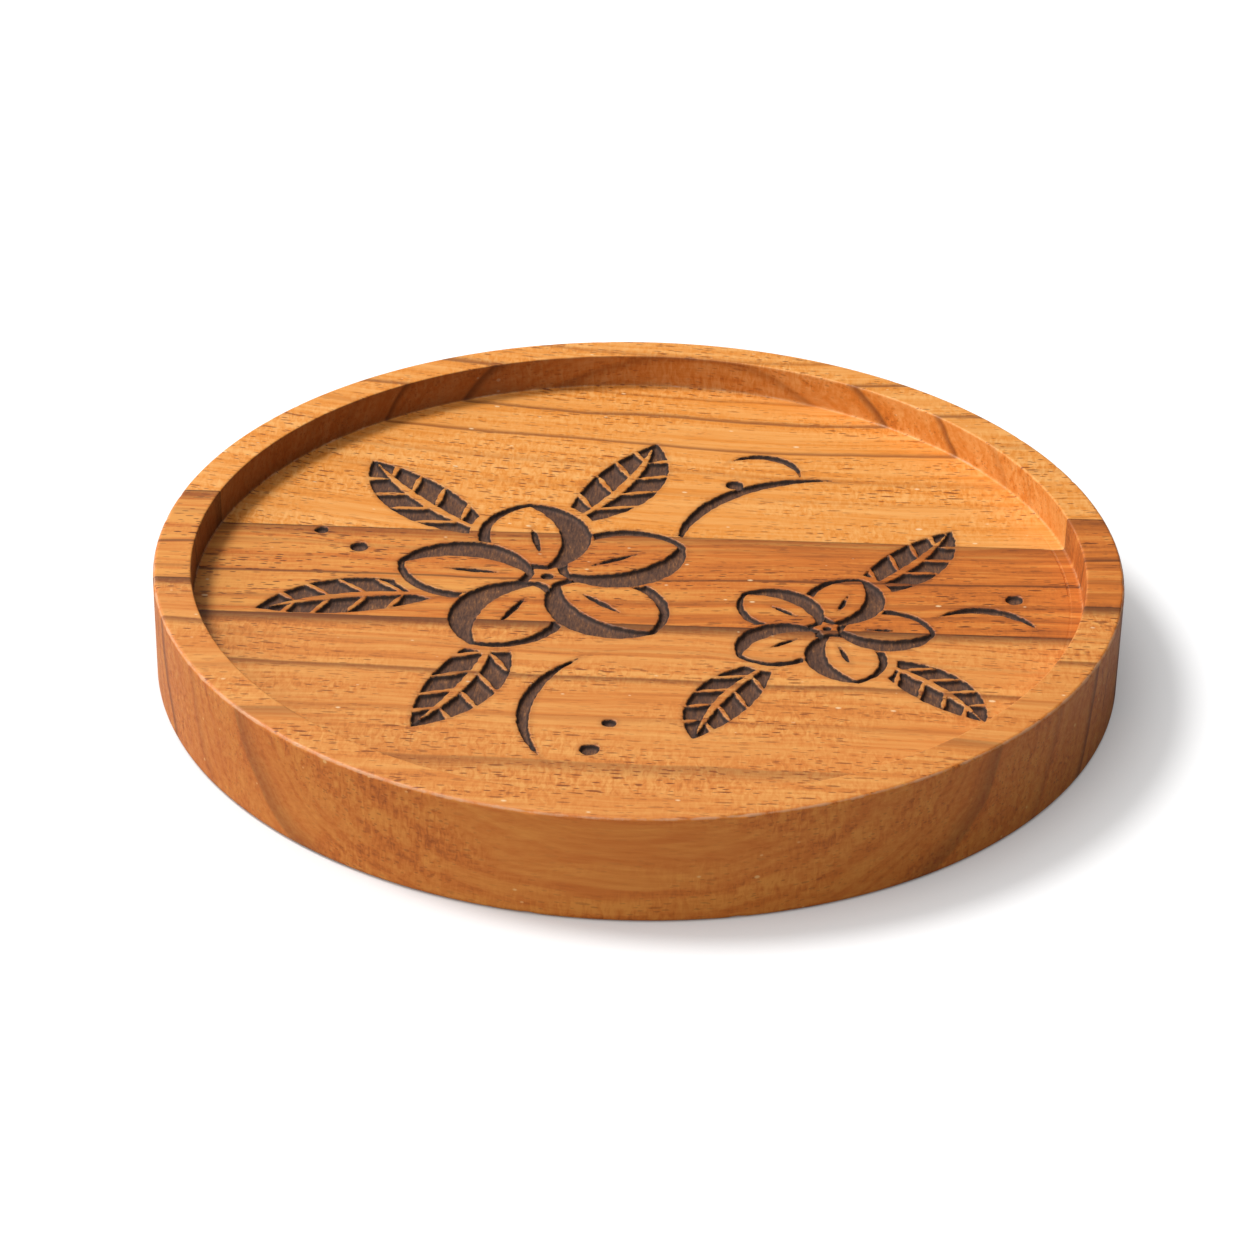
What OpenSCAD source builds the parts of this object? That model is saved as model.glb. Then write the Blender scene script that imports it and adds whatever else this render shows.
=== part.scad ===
// Round drink coaster, turned and routed from a board of three glued staves.
// The origin is the centre of the underside, +Z points up and X runs along the grain.

/* [Board] */
// Outer diameter of the finished disc
coaster_d = 100; // [86:1:120]
// Height from the table to the top of the rim
coaster_h = 11.6; // [9:0.1:16]
// How far the back glue joint lies behind the centre
back_joint_y = 10.6; // [4:0.2:20]
// How far the front glue joint lies in front of the centre
front_joint_y = 8; // [4:0.2:20]

/* [Recess] */
// Width of the raised rim, measured across its top
rim_w = 3.9; // [2.5:0.1:7]
// Depth of the recess below the top of the rim
recess_depth = 3.8; // [2.5:0.1:5]
// Radius that the router bit leaves at the foot of the recess wall
foot_r = 0.3; // [0.2:0.1:1.4]

/* [Edges] */
// Rounding of the outer edge on top of the rim
top_edge_r = 0.4; // [0.3:0.1:1.2]
// Bevel that sanding leaves on the inner edge on top of the rim
inner_bevel = 0.2; // [0.1:0.05:0.5]
// Rounding of the edge that meets the table
base_edge_r = 0.5; // [0.2:0.1:1.2]

/* [Carving] */
// Depth of the carved blossoms and leaves below the recess floor
carve_depth = 0.5; // [0.2:0.1:1]
// Smallest distance between the carving and the recess wall
carve_margin = 2.5; // [1:0.5:6]
// Length of a petal of the large blossom
large_petal = 16; // [12:0.5:17]
// Length of a petal of the small blossom
small_petal = 11; // [8:0.5:13]
// Width of the bare wood that sets off a blossom from the leaves behind it
blossom_gap = 0.9; // [0.5:0.1:1.5]
// Width of the bare wood between two petals of a blossom
petal_gap = 0.3; // [0.2:0.05:0.6]
// Number of petals on each blossom
petals = 5; // [4:1:6]

/* [Hidden] */
$fn = 128;
// Sides of the small circles that round the edges, which gives three flats to a quarter turn
edge_sides = 12;
// How far a cut runs past what it cuts
overrun = 1;
outer_r = coaster_d / 2;
recess_r = outer_r - rim_w;
floor_z = coaster_h - recess_depth;
floor_r = recess_r - foot_r;

// Centres of the two blossoms, as shares of the floor's radius
large_place_shares = [-0.2086, 0.0298];
small_place_shares = [0.4272, -0.1639];
// How far each blossom is turned
large_turn = 20;
small_turn = 62;

// Petals, as shares of a petal's length: where the outline and the bare middle start and end,
// and how far the left and right sides of each bow out
outline_shares = [0.09, 1.00, 0.40, 0.35];
middle_shares = [0.15, 0.955, 0.325, 0.145];
// How far a petal's tip leans round from its root
petal_lean = 8;
// The short groove in the middle of each petal: start, end and half width, in the same shares
groove_shares = [0.32, 0.66, 0.022];
groove_lean = 10;
eye_share = 0.04;

// Leaves: angle and distance of the stalk end, angle and distance of the tip, width and bow.
// Distances, widths and bows are shares of the petal length of the blossom they stand behind
large_leaf_shares = [
    [127, 0.67, 130, 2.00, 0.47, 0.08],
    [83, 0.72, 71, 2.02, 0.47, -0.09],
    [203, 0.71, 196, 1.92, 0.44, -0.08],
    [249, 0.77, 249, 2.04, 0.45, 0.08],
];
small_leaf_shares = [
    [70, 0.68, 58, 2.30, 0.58, -0.10],
    [307, 0.68, 312, 2.10, 0.54, 0.10],
    [232, 0.81, 239, 2.35, 0.55, -0.10],
];
// Each leaf's midrib and veins are left standing
vein_pairs = 4;
midrib_shares = [0.02, 0.95, 0.14];
vein_from_share = 0.2;
vein_to_share = 0.78;
vein_run_share = 0.15;
vein_reach_share = 0.52;
vein_half_share = 0.04;

// Tendrils: the two ends as angle and distance, then bow and thickness, in the same shares
large_tendril_shares = [
    [27.5, 0.95, 37, 2.40, 0.32, 0.10],
    [42, 2.22, 55, 2.05, -0.17, 0.07],
    [285, 1.05, 272, 2.20, -0.22, 0.085],
];
small_tendril_shares = [
    [14, 1.05, 3, 1.96, 0.24, 0.11],
];
// Berries: angle, distance and radius, in the same shares
large_berry_shares = [
    [48, 1.80, 0.06],
    [166, 1.30, 0.06],
    [161, 1.62, 0.045],
    [280, 2.13, 0.062],
    [285, 1.85, 0.045],
];
small_berry_shares = [
    [20, 1.88, 0.085],
];

function polar(angle, distance) = distance * [cos(angle), sin(angle)];

// Centre of the disc whose edge runs through p and q and bulges by bow to the left of the way
function bow_centre(p, q, bow) =
    let (way = q - p, left = [-way.y, way.x] / norm(way))
    (p + q) / 2 + left * sign(bow) * (abs(bow) - bow_radius(p, q, bow));

function bow_radius(p, q, bow) = (norm(q - p) ^ 2 / 4 + bow ^ 2) / (2 * abs(bow));

module bow_disc(p, q, bow) {
    translate(bow_centre(p, q, bow)) circle(bow_radius(p, q, bow));
}

module lens(p, q, left, right) {
    intersection() {
        bow_disc(p, q, left);
        bow_disc(p, q, -right);
    }
}

module crescent(p, q, bow, thickness) {
    outer_bow = bow + sign(bow) * thickness / 2;
    inner_bow = bow - sign(bow) * thickness / 2;
    difference() {
        bow_disc(p, q, outer_bow);
        bow_disc(p, q, inner_bow);
    }
}

module petal_shape(angle, length, shares, grown) {
    lens(
        polar(angle, shares[0] * length),
        polar(angle + petal_lean, shares[1] * length + grown),
        shares[2] * length + grown,
        shares[3] * length + grown
    );
}

// One petal's outline, thick on its shaded side, and the groove in its middle
module petal_strokes(angle, length) {
    difference() {
        petal_shape(angle, length, outline_shares, 0);
        petal_shape(angle, length, middle_shares, 0);
    }
    lens(
        polar(angle + groove_lean, groove_shares[0] * length),
        polar(angle + groove_lean, groove_shares[1] * length),
        groove_shares[2] * length,
        groove_shares[2] * length
    );
}

// Each petal lies over the one before it, with a bare line between them
module blossom_strokes(length, turn) {
    step = 360 / petals;
    for (i = [0:petals - 1])
        difference() {
            petal_strokes(turn + i * step, length);
            petal_shape(turn + (i + 1) * step, length, outline_shares, petal_gap);
        }
    circle(eye_share * length);
}

// Everything that a blossom covers, with the bare gap around it
module blossom_shadow(length, turn) {
    for (i = [0:petals - 1])
        petal_shape(turn + i * 360 / petals, length, outline_shares, blossom_gap);
}

module leaf(stalk, tip, width, bow) {
    way = tip - stalk;
    left = [-way.y, way.x] / norm(way);
    difference() {
        lens(stalk, tip, width / 2 + bow, width / 2 - bow);
        crescent(
            stalk + midrib_shares[0] * way, stalk + midrib_shares[1] * way, bow, midrib_shares[2] * width
        );
        for (i = [0:vein_pairs - 1], side = [-1, 1]) {
            along = vein_from_share + (vein_to_share - vein_from_share) * i / (vein_pairs - 1);
            base = stalk + along * way + 4 * along * (1 - along) * bow * left;
            end = base + vein_run_share * way + side * vein_reach_share * width * left;
            lens(base, end, vein_half_share * width, vein_half_share * width);
        }
    }
}

module leaves(rows, length) {
    for (row = rows)
        leaf(
            polar(row[0], row[1] * length), polar(row[2], row[3] * length),
            row[4] * length, row[5] * length
        );
}

module tendrils(rows, length) {
    for (row = rows)
        crescent(
            polar(row[0], row[1] * length), polar(row[2], row[3] * length),
            row[4] * length, row[5] * length
        );
}

module berries(rows, length) {
    for (row = rows) translate(polar(row[0], row[1] * length)) circle(row[2] * length);
}

module at_large() {
    translate(floor_r * large_place_shares) children();
}

module at_small() {
    translate(floor_r * small_place_shares) children();
}

module ornament() {
    at_large() blossom_strokes(large_petal, large_turn);
    difference() {
        union() {
            at_small() blossom_strokes(small_petal, small_turn);
            difference() {
                union() {
                    at_large() {
                        leaves(large_leaf_shares, large_petal);
                        tendrils(large_tendril_shares, large_petal);
                    }
                    at_small() {
                        leaves(small_leaf_shares, small_petal);
                        tendrils(small_tendril_shares, small_petal);
                    }
                }
                at_small() blossom_shadow(small_petal, small_turn);
            }
        }
        at_large() blossom_shadow(large_petal, large_turn);
    }
    at_large() berries(large_berry_shares, large_petal);
    at_small() berries(small_berry_shares, small_petal);
}

module carving() {
    translate([0, 0, floor_z - carve_depth])
        linear_extrude(carve_depth + overrun)
            intersection() {
                ornament();
                circle(floor_r - carve_margin);
            }
}

// The corner of a square that rounding takes away, with the arc's centre at the origin
module corner_waste(r) {
    difference() {
        square(r + overrun);
        circle(r, $fn = edge_sides);
    }
}

// What a bevel takes away, with the sharp corner at the origin and the open side to the left
module bevel_waste(b) {
    polygon([[0, -b], [b, 0], [b, overrun], [-overrun, overrun], [-overrun, -b]]);
}

module recess_profile() {
    translate([0, floor_z]) square([floor_r, recess_depth + overrun]);
    translate([0, floor_z + foot_r]) square([recess_r, recess_depth + overrun]);
    translate([floor_r, floor_z + foot_r]) circle(foot_r, $fn = edge_sides);
}

module profile() {
    difference() {
        square([outer_r, coaster_h]);
        recess_profile();
        translate([outer_r - top_edge_r, coaster_h - top_edge_r]) corner_waste(top_edge_r);
        translate([outer_r - base_edge_r, base_edge_r]) mirror([0, 1]) corner_waste(base_edge_r);
        translate([recess_r, coaster_h]) bevel_waste(inner_bevel);
    }
}

// The part of the disc between two glue joints
module stave(from_y, to_y) {
    difference() {
        intersection() {
            rotate_extrude() profile();
            translate([-coaster_d / 2 - overrun, from_y, -overrun])
                cube([coaster_d + 2 * overrun, to_y - from_y, coaster_h + 2 * overrun]);
        }
        carving();
    }
}

module back_stave() {
    color("#d99a58") stave(back_joint_y, outer_r + overrun);
}

module middle_stave() {
    color("#b8743c") stave(-front_joint_y, back_joint_y);
}

module front_stave() {
    color("#c4824a") stave(-outer_r - overrun, -front_joint_y);
}

back_stave();
middle_stave();
front_stave();
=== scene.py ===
# Drink coaster of oiled teak: three glued staves with a burnt carving in the recess
import math
import bpy
import numpy as np
from mathutils import Matrix, Vector
from mathutils.geometry import delaunay_2d_cdt
from mathutils.noise import noise as smoothNoise


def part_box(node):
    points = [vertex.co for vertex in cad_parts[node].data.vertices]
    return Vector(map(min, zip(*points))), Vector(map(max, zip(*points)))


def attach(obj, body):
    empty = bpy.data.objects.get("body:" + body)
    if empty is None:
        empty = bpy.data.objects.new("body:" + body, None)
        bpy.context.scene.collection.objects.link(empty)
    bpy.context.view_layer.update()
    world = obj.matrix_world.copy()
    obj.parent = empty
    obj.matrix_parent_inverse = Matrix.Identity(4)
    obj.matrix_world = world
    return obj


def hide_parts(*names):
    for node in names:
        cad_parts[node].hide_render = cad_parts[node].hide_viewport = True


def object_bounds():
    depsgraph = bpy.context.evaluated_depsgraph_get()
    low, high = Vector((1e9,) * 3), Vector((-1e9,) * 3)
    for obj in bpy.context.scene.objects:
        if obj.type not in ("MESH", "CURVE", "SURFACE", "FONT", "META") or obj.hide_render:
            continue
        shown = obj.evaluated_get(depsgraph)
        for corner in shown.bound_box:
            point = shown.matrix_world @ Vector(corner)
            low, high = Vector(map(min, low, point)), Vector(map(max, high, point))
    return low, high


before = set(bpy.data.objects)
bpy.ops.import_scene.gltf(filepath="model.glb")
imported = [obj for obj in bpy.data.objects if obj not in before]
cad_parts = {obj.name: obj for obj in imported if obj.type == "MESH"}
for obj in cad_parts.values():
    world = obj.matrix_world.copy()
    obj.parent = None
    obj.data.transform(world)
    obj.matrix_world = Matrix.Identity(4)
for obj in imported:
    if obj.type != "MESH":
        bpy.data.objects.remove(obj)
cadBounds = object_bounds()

mm = 0.001
samePlace = 1e-4   # mm, points closer than this are one
print("frame loaded:", ", ".join(sorted(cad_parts)))


# Colours are written as sRGB hex and turned linear here
def linear(hexColour):
    channels = [int(hexColour[i:i + 2], 16) / 255 for i in (1, 3, 5)]
    return tuple(c / 12.92 if c <= 0.04045 else ((c + 0.055) / 1.055) ** 2.4 for c in channels) + (1.0,)


# Adds one shader node. Each input is a value, a socket to link or a node, whose first output is then linked.
# Settings are the node's own properties
def addNode(tree, kind, inputs=None, **settings):
    node = tree.nodes.new("ShaderNode" + kind)
    for name, value in settings.items():
        setattr(node, name, value)
    for key, value in (inputs or {}).items():
        if isinstance(value, bpy.types.Node):
            value = value.outputs[0]
        if isinstance(value, bpy.types.NodeSocket):
            tree.links.new(value, node.inputs[key])
        else:
            node.inputs[key].default_value = value
    return node


# Gives a colour ramp its stops, each a place and a linear colour
def setStops(ramp, stops):
    elements = ramp.color_ramp.elements
    while len(elements) < len(stops):
        elements.new(1.0)
    for element, (place, colour) in zip(elements, sorted(stops)):
        element.position = place
        element.color = colour


# Camera, as fitted to the outlines of the rim, the recess and the base
camera = {
    "distance": 400.0,       # mm from the lens to the middle of the coaster
    "elevation": 30.35,      # degrees above the table
    "turn": 1.6,             # degrees between the grain and the picture's width
    "roll": 1.09,            # degrees
    "right": -1.106,         # mm that the lens stands right of the middle
    "up": 2.407,             # mm that it stands above the line through the middle
    "lens": 109.36,          # mm
    "sensor": 36.0,          # mm
}


def placeCamera():
    e, roll = math.radians(camera["elevation"]), math.radians(camera["roll"])
    forward = Vector((0, math.cos(e), -math.sin(e)))
    right = Vector((1, 0, 0))
    up = right.cross(forward)
    place = -forward * camera["distance"] + right * camera["right"] + up * camera["up"]
    rolledRight = right * math.cos(roll) + up * math.sin(roll)
    rolledUp = up * math.cos(roll) - right * math.sin(roll)
    pose = Matrix((rolledRight, rolledUp, -forward)).transposed().to_4x4()
    pose.translation = place * mm
    data = bpy.data.cameras.new("camera")
    data.lens = camera["lens"]
    data.sensor_width = camera["sensor"]
    data.clip_start = 0.01   # m
    data.clip_end = 20.0
    thing = bpy.data.objects.new("camera", data)
    thing.matrix_world = Matrix.Rotation(math.radians(camera["turn"]), 4, "Z") @ pose
    bpy.context.scene.collection.objects.link(thing)
    bpy.context.scene.camera = thing


placeCamera()
print("camera placed")

# White table and one soft lamp from the left, a little behind the coaster
studio = {
    "floorSize": 8.0,            # m
    "floorDrop": 0.02,           # mm below the underside, so that the two never share a plane
    "floorReach": 0.05,          # mm under which the ground lets light through to the underside
    "floorColour": "#dcdcdc",    # as the camera sees it, before the glow
    "floorGlow": 0.40,           # seen by the camera only, so that the ground reads white
    "contactReach": 10.0,        # mm from the coaster within which the glow is shaded by it
    "contactSamples": 16,
    "bounceColour": "#b2b2b2",   # what the ground throws back on the coaster
    "skyLow": 0.11,              # sky on the side away from the lamp
    "skyHigh": 1.20,             # sky on the lamp's side
    "skyTowards": (-0.90, -0.22, 0.38),
    "skyStart": -0.2,            # 1 faces the bright side, -1 faces away: the sky starts to brighten here
    "keyPower": 6.0,             # W
    "keySize": 0.28,             # m
    "keyDistance": 0.95,         # m
    "keyAzimuth": 158.0,         # degrees from +X towards +Y
    "keyElevation": 56.5,
}


# Matt white paper: no gloss at all, so the eye sees plain white with one soft shadow
def makeFloor():
    half = studio["floorSize"] / 2
    mesh = bpy.data.meshes.new("tableTop")
    low = -studio["floorDrop"] * mm
    corners = [(-half, -half, low), (half, -half, low), (half, half, low), (-half, half, low)]
    mesh.from_pydata(corners, [], [(0, 1, 2, 3)])
    floor = bpy.data.objects.new("tableTop", mesh)
    bpy.context.scene.collection.objects.link(floor)
    material = bpy.data.materials.new("mattWhitePaper")
    material.use_nodes = True
    tree = material.node_tree
    tree.nodes.clear()
    path = addNode(tree, "LightPath")
    colour = addNode(
        tree, "Mix",
        {
            "Factor": path.outputs["Is Camera Ray"],
            "A": linear(studio["bounceColour"]), "B": linear(studio["floorColour"]),
        },
        data_type="RGBA",
    )
    diffuse = addNode(tree, "BsdfDiffuse", {"Color": colour.outputs["Result"]})
    glow = addNode(tree, "Math", {0: path.outputs["Is Camera Ray"], 1: studio["floorGlow"]}, operation="MULTIPLY")
    contact = addNode(
        tree, "AmbientOcclusion", {"Distance": studio["contactReach"] * mm},
        samples=studio["contactSamples"],
    )
    shaded = addNode(tree, "Math", {0: glow, 1: contact.outputs["AO"]}, operation="MULTIPLY")
    light = addNode(tree, "Emission", {"Strength": shaded})
    both = addNode(tree, "AddShader", {0: diffuse, 1: light})
    # Clear when looked at from below, so that the underside can be seen and is lit
    side = addNode(tree, "NewGeometry")
    near = addNode(
        tree, "Math", {0: path.outputs["Ray Length"], 1: studio["floorReach"] * mm},
        operation="LESS_THAN",
    )
    fromBelow = addNode(tree, "Math", {0: side.outputs["Backfacing"], 1: near}, operation="MAXIMUM")
    clear = addNode(tree, "BsdfTransparent")
    whole = addNode(tree, "MixShader", {0: fromBelow, 1: both, 2: clear})
    addNode(tree, "OutputMaterial", {"Surface": whole})
    mesh.materials.append(material)


def makeLights():
    world = bpy.data.worlds.new("studioSky")
    bpy.context.scene.world = world
    world.use_nodes = True
    tree = world.node_tree
    tree.nodes.clear()
    place = addNode(tree, "TexCoord")
    side = addNode(
        tree, "VectorMath", {0: place.outputs["Generated"], 1: studio["skyTowards"]},
        operation="DOT_PRODUCT",
    )
    sky = addNode(
        tree, "MapRange",
        {
            "Value": side.outputs["Value"], "From Min": studio["skyStart"], "From Max": 1.0,
            "To Min": studio["skyLow"], "To Max": studio["skyHigh"],
        },
        interpolation_type="SMOOTHSTEP",
    )
    path = addNode(tree, "LightPath")
    strength = addNode(
        tree, "Mix", {"Factor": path.outputs["Is Camera Ray"], "A": sky, "B": 1.0},
        data_type="FLOAT",
    )
    background = addNode(tree, "Background", {"Color": (1, 1, 1, 1), "Strength": strength.outputs["Result"]})
    addNode(tree, "OutputWorld", {"Surface": background})
    azimuth, elevation = math.radians(studio["keyAzimuth"]), math.radians(studio["keyElevation"])
    direction = Vector((
        math.cos(elevation) * math.cos(azimuth),
        math.cos(elevation) * math.sin(azimuth),
        math.sin(elevation),
    ))
    data = bpy.data.lights.new("keySoftbox", "AREA")
    data.shape = "DISK"
    data.size = studio["keySize"]
    data.energy = studio["keyPower"]
    lamp = bpy.data.objects.new("keySoftbox", data)
    lamp.location = direction * studio["keyDistance"]
    lamp.rotation_euler = direction.to_track_quat("Z", "Y").to_euler()
    bpy.context.scene.collection.objects.link(lamp)


makeFloor()
makeLights()
print("table and lights made")

# Sizes of the coaster in mm, those of the staves read from the frame
lowCorner, highCorner = (corner / mm for corner in cadBounds)
board = {
    "radius": (highCorner.y - lowCorner.y) / 2,
    "height": highCorner.z,
    "backJoint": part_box("back_stave")[0].y / mm,
    "frontJoint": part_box("front_stave")[1].y / mm,
    "rimWidth": 3.9,
    "recessDepth": 3.8,
    "footRadius": 0.3,
    "innerBreak": 0.2,
    "topRound": 0.4,
    "baseRound": 0.5,
    "stepAlongRim": 0.5,     # length of one facet of the turned faces
    "support": 0.15,         # how far from a rounding the flat faces get their first ring of points
    "sharpAngle": 50.0,      # degrees between two faces from which their edge is drawn sharp
    "chipDepth": 0.16,       # how deep the small chips in the outer edges are
    "chipLengths": (1.6, 7.0),
    "chipRarity": 1.05,      # raise it for fewer chips
    "chipSeed": 31,
    "scoreRadius": 1.05,     # how far the router's score line lies inside the foot of the wall
    "scoreWidth": 0.16,
    "scoreDepth": 0.07,
    "scoreStart": (42.0, 0.9),   # x and y from which it shows
    "scoreFaint": 0.25,      # its share of the depth before that y
    "scorePoints": 560,
}
board["floorZ"] = board["height"] - board["recessDepth"]
board["wallRadius"] = board["radius"] - board["rimWidth"]
board["floorRadius"] = board["wallRadius"] - board["footRadius"]

# The carved blossoms and leaves. Places are shares of the floor's radius, all else of a petal's length
carving = {
    "depth": 0.5,
    "margin": 2.5,
    "blossomGap": 0.9,
    "petalGap": 0.3,
    "petals": 5,
    "large": {
        "place": (-0.2086, 0.0298), "length": 16.0, "turn": 20,
        "leaves": [
            (127, 0.67, 130, 2.00, 0.47, 0.08), (83, 0.72, 71, 2.02, 0.47, -0.09),
            (203, 0.71, 196, 1.92, 0.44, -0.08), (249, 0.77, 249, 2.04, 0.45, 0.08),
        ],
        "tendrils": [
            (27.5, 0.95, 37, 2.40, 0.32, 0.10), (42, 2.22, 55, 2.05, -0.17, 0.07),
            (285, 1.05, 272, 2.20, -0.22, 0.085),
        ],
        "berries": [
            (48, 1.80, 0.06), (166, 1.30, 0.06), (161, 1.62, 0.045), (280, 2.13, 0.062), (285, 1.85, 0.045),
        ],
    },
    "small": {
        "place": (0.4272, -0.1639), "length": 11.0, "turn": 62,
        "leaves": [
            (70, 0.68, 58, 2.30, 0.58, -0.10), (307, 0.68, 312, 2.10, 0.54, 0.10),
            (232, 0.81, 239, 2.35, 0.55, -0.10),
        ],
        "tendrils": [(14, 1.05, 3, 1.96, 0.24, 0.11)],
        "berries": [(20, 1.88, 0.085)],
    },
    "outline": (0.09, 1.00, 0.40, 0.35),
    "middle": (0.15, 0.955, 0.325, 0.145),
    "petalLean": 8,
    "groove": (0.32, 0.66, 0.022),
    "grooveLean": 10,
    "eye": 0.04,
    "veinPairs": 4,
    "midrib": (0.02, 0.95, 0.14),
    "vein": (0.2, 0.78, 0.15, 0.52, 0.04),
    "wobble": 0.045,                       # mm, how much the burning tip strays from the line
    "wobbleLengths": (0.9, 2.8),
    "wobbleSeed": 7,
    "gridStep": 0.2,                       # mm, how finely the outlines are followed
    "flatStep": 1.3,                       # mm between the points of the bare floor
    "burntStep": 0.4,                      # mm between the points at the bottom of the strokes
    "levels": (0.7, 0.3, 0.1, 0.0, -0.12, -0.28, -0.55),   # mm from the outline, inwards below nought
    "drop": (0.0, 0.0, 0.0, 0.08, 0.62, 0.93, 1.0),        # share of the depth reached at each level
    "roughness": 0.05,                     # mm, how uneven the burnt bottom is
    "flatFrom": 0.09,                      # mm from the outline, the faces beyond it are drawn flat
}


# Distance of each point from the edge of a disc that bulges by bow to the left of the way from p to q
def bowDisc(points, p, q, bow):
    way = q - p
    length = np.linalg.norm(way)
    left = np.array((-way[1], way[0])) / length
    radius = (length ** 2 / 4 + bow ** 2) / (2 * abs(bow))
    centre = (p + q) / 2 + left * np.sign(bow) * (abs(bow) - radius)
    return np.linalg.norm(points - centre, axis=-1) - radius


def lens(points, p, q, left, right):
    return np.maximum(bowDisc(points, p, q, left), bowDisc(points, p, q, -right))


def crescent(points, p, q, bow, thickness):
    half = np.sign(bow) * thickness / 2
    return np.maximum(bowDisc(points, p, q, bow + half), -bowDisc(points, p, q, bow - half))


def polar(centre, angle, distance):
    a = math.radians(angle)
    return centre + distance * np.array((math.cos(a), math.sin(a)))


def petalShape(points, centre, angle, length, shares, grown=0.0):
    root = polar(centre, angle, shares[0] * length)
    tip = polar(centre, angle + carving["petalLean"], shares[1] * length + grown)
    return lens(points, root, tip, shares[2] * length + grown, shares[3] * length + grown)


def leafShape(points, stalk, tip, width, bow):
    way = tip - stalk
    left = np.array((-way[1], way[0])) / np.linalg.norm(way)
    start, end, ribWidth = carving["midrib"]
    fromShare, toShare, run, reach, half = carving["vein"]
    shape = lens(points, stalk, tip, width / 2 + bow, width / 2 - bow)
    shape = np.maximum(shape, -crescent(points, stalk + start * way, stalk + end * way, bow, ribWidth * width))
    for along in np.linspace(fromShare, toShare, carving["veinPairs"]):
        base = stalk + along * way + 4 * along * (1 - along) * bow * left
        for side in (-1, 1):
            veinEnd = base + run * way + side * reach * width * left
            shape = np.maximum(shape, -lens(points, base, veinEnd, half * width, half * width))
    return shape


# The strokes of one spray: what its blossom draws, what the blossom covers, and what stands behind
def sprayShapes(points, spray):
    centre = board["floorRadius"] * np.array(spray["place"])
    length = spray["length"]
    step = 360 / carving["petals"]
    blossom, cover = [], []
    grooveStart, grooveEnd, grooveHalf = (share * length for share in carving["groove"])
    for i in range(carving["petals"]):
        angle = spray["turn"] + i * step
        strokes = np.maximum(
            petalShape(points, centre, angle, length, carving["outline"]),
            -petalShape(points, centre, angle, length, carving["middle"]),
        )
        lean = angle + carving["grooveLean"]
        groove = lens(
            points, polar(centre, lean, grooveStart), polar(centre, lean, grooveEnd), grooveHalf, grooveHalf
        )
        nextPetal = petalShape(points, centre, angle + step, length, carving["outline"], carving["petalGap"])
        blossom.append(np.maximum(np.minimum(strokes, groove), -nextPetal))
        cover.append(petalShape(points, centre, angle, length, carving["outline"], carving["blossomGap"]))
    blossom.append(np.linalg.norm(points - centre, axis=-1) - carving["eye"] * length)
    behind = [
        leafShape(points, polar(centre, a, d * length), polar(centre, b, e * length), w * length, bow * length)
        for a, d, b, e, w, bow in spray["leaves"]
    ]
    behind += [
        crescent(points, polar(centre, a, d * length), polar(centre, b, e * length), bow * length, t * length)
        for a, d, b, e, bow, t in spray["tendrils"]
    ]
    berries = [
        np.linalg.norm(points - polar(centre, a, d * length), axis=-1) - r * length
        for a, d, r in spray["berries"]
    ]
    return [np.minimum.reduce(shapes) for shapes in (blossom, cover, behind, berries)]


# Smooth uneven field of waves with random directions, about -1 to 1
def waves(points, seed, shortest, longest, count=14):
    source = np.random.default_rng(seed)
    total = np.zeros(points.shape[:-1])
    for _ in range(count):
        wavelength = source.uniform(shortest, longest)
        angle, phase = source.uniform(0, 2 * math.pi, 2)
        along = points[..., 0] * math.cos(angle) + points[..., 1] * math.sin(angle)
        total += np.sin(2 * math.pi * along / wavelength + phase)
    return total / math.sqrt(count)


# Distance from the edge of the burnt strokes in mm, below nought inside them
def carvingDistance(points):
    largeBlossom, largeCover, largeBehind, largeBerries = sprayShapes(points, carving["large"])
    smallBlossom, smallCover, smallBehind, smallBerries = sprayShapes(points, carving["small"])
    behind = np.maximum(np.minimum(largeBehind, smallBehind), -smallCover)
    back = np.maximum(np.minimum(smallBlossom, behind), -largeCover)
    drawing = np.minimum.reduce([largeBlossom, back, largeBerries, smallBerries])
    drawing = drawing + carving["wobble"] * waves(points, carving["wobbleSeed"], *carving["wobbleLengths"])
    field = np.linalg.norm(points, axis=-1) - (board["floorRadius"] - carving["margin"])
    return np.maximum(drawing, field)


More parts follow.
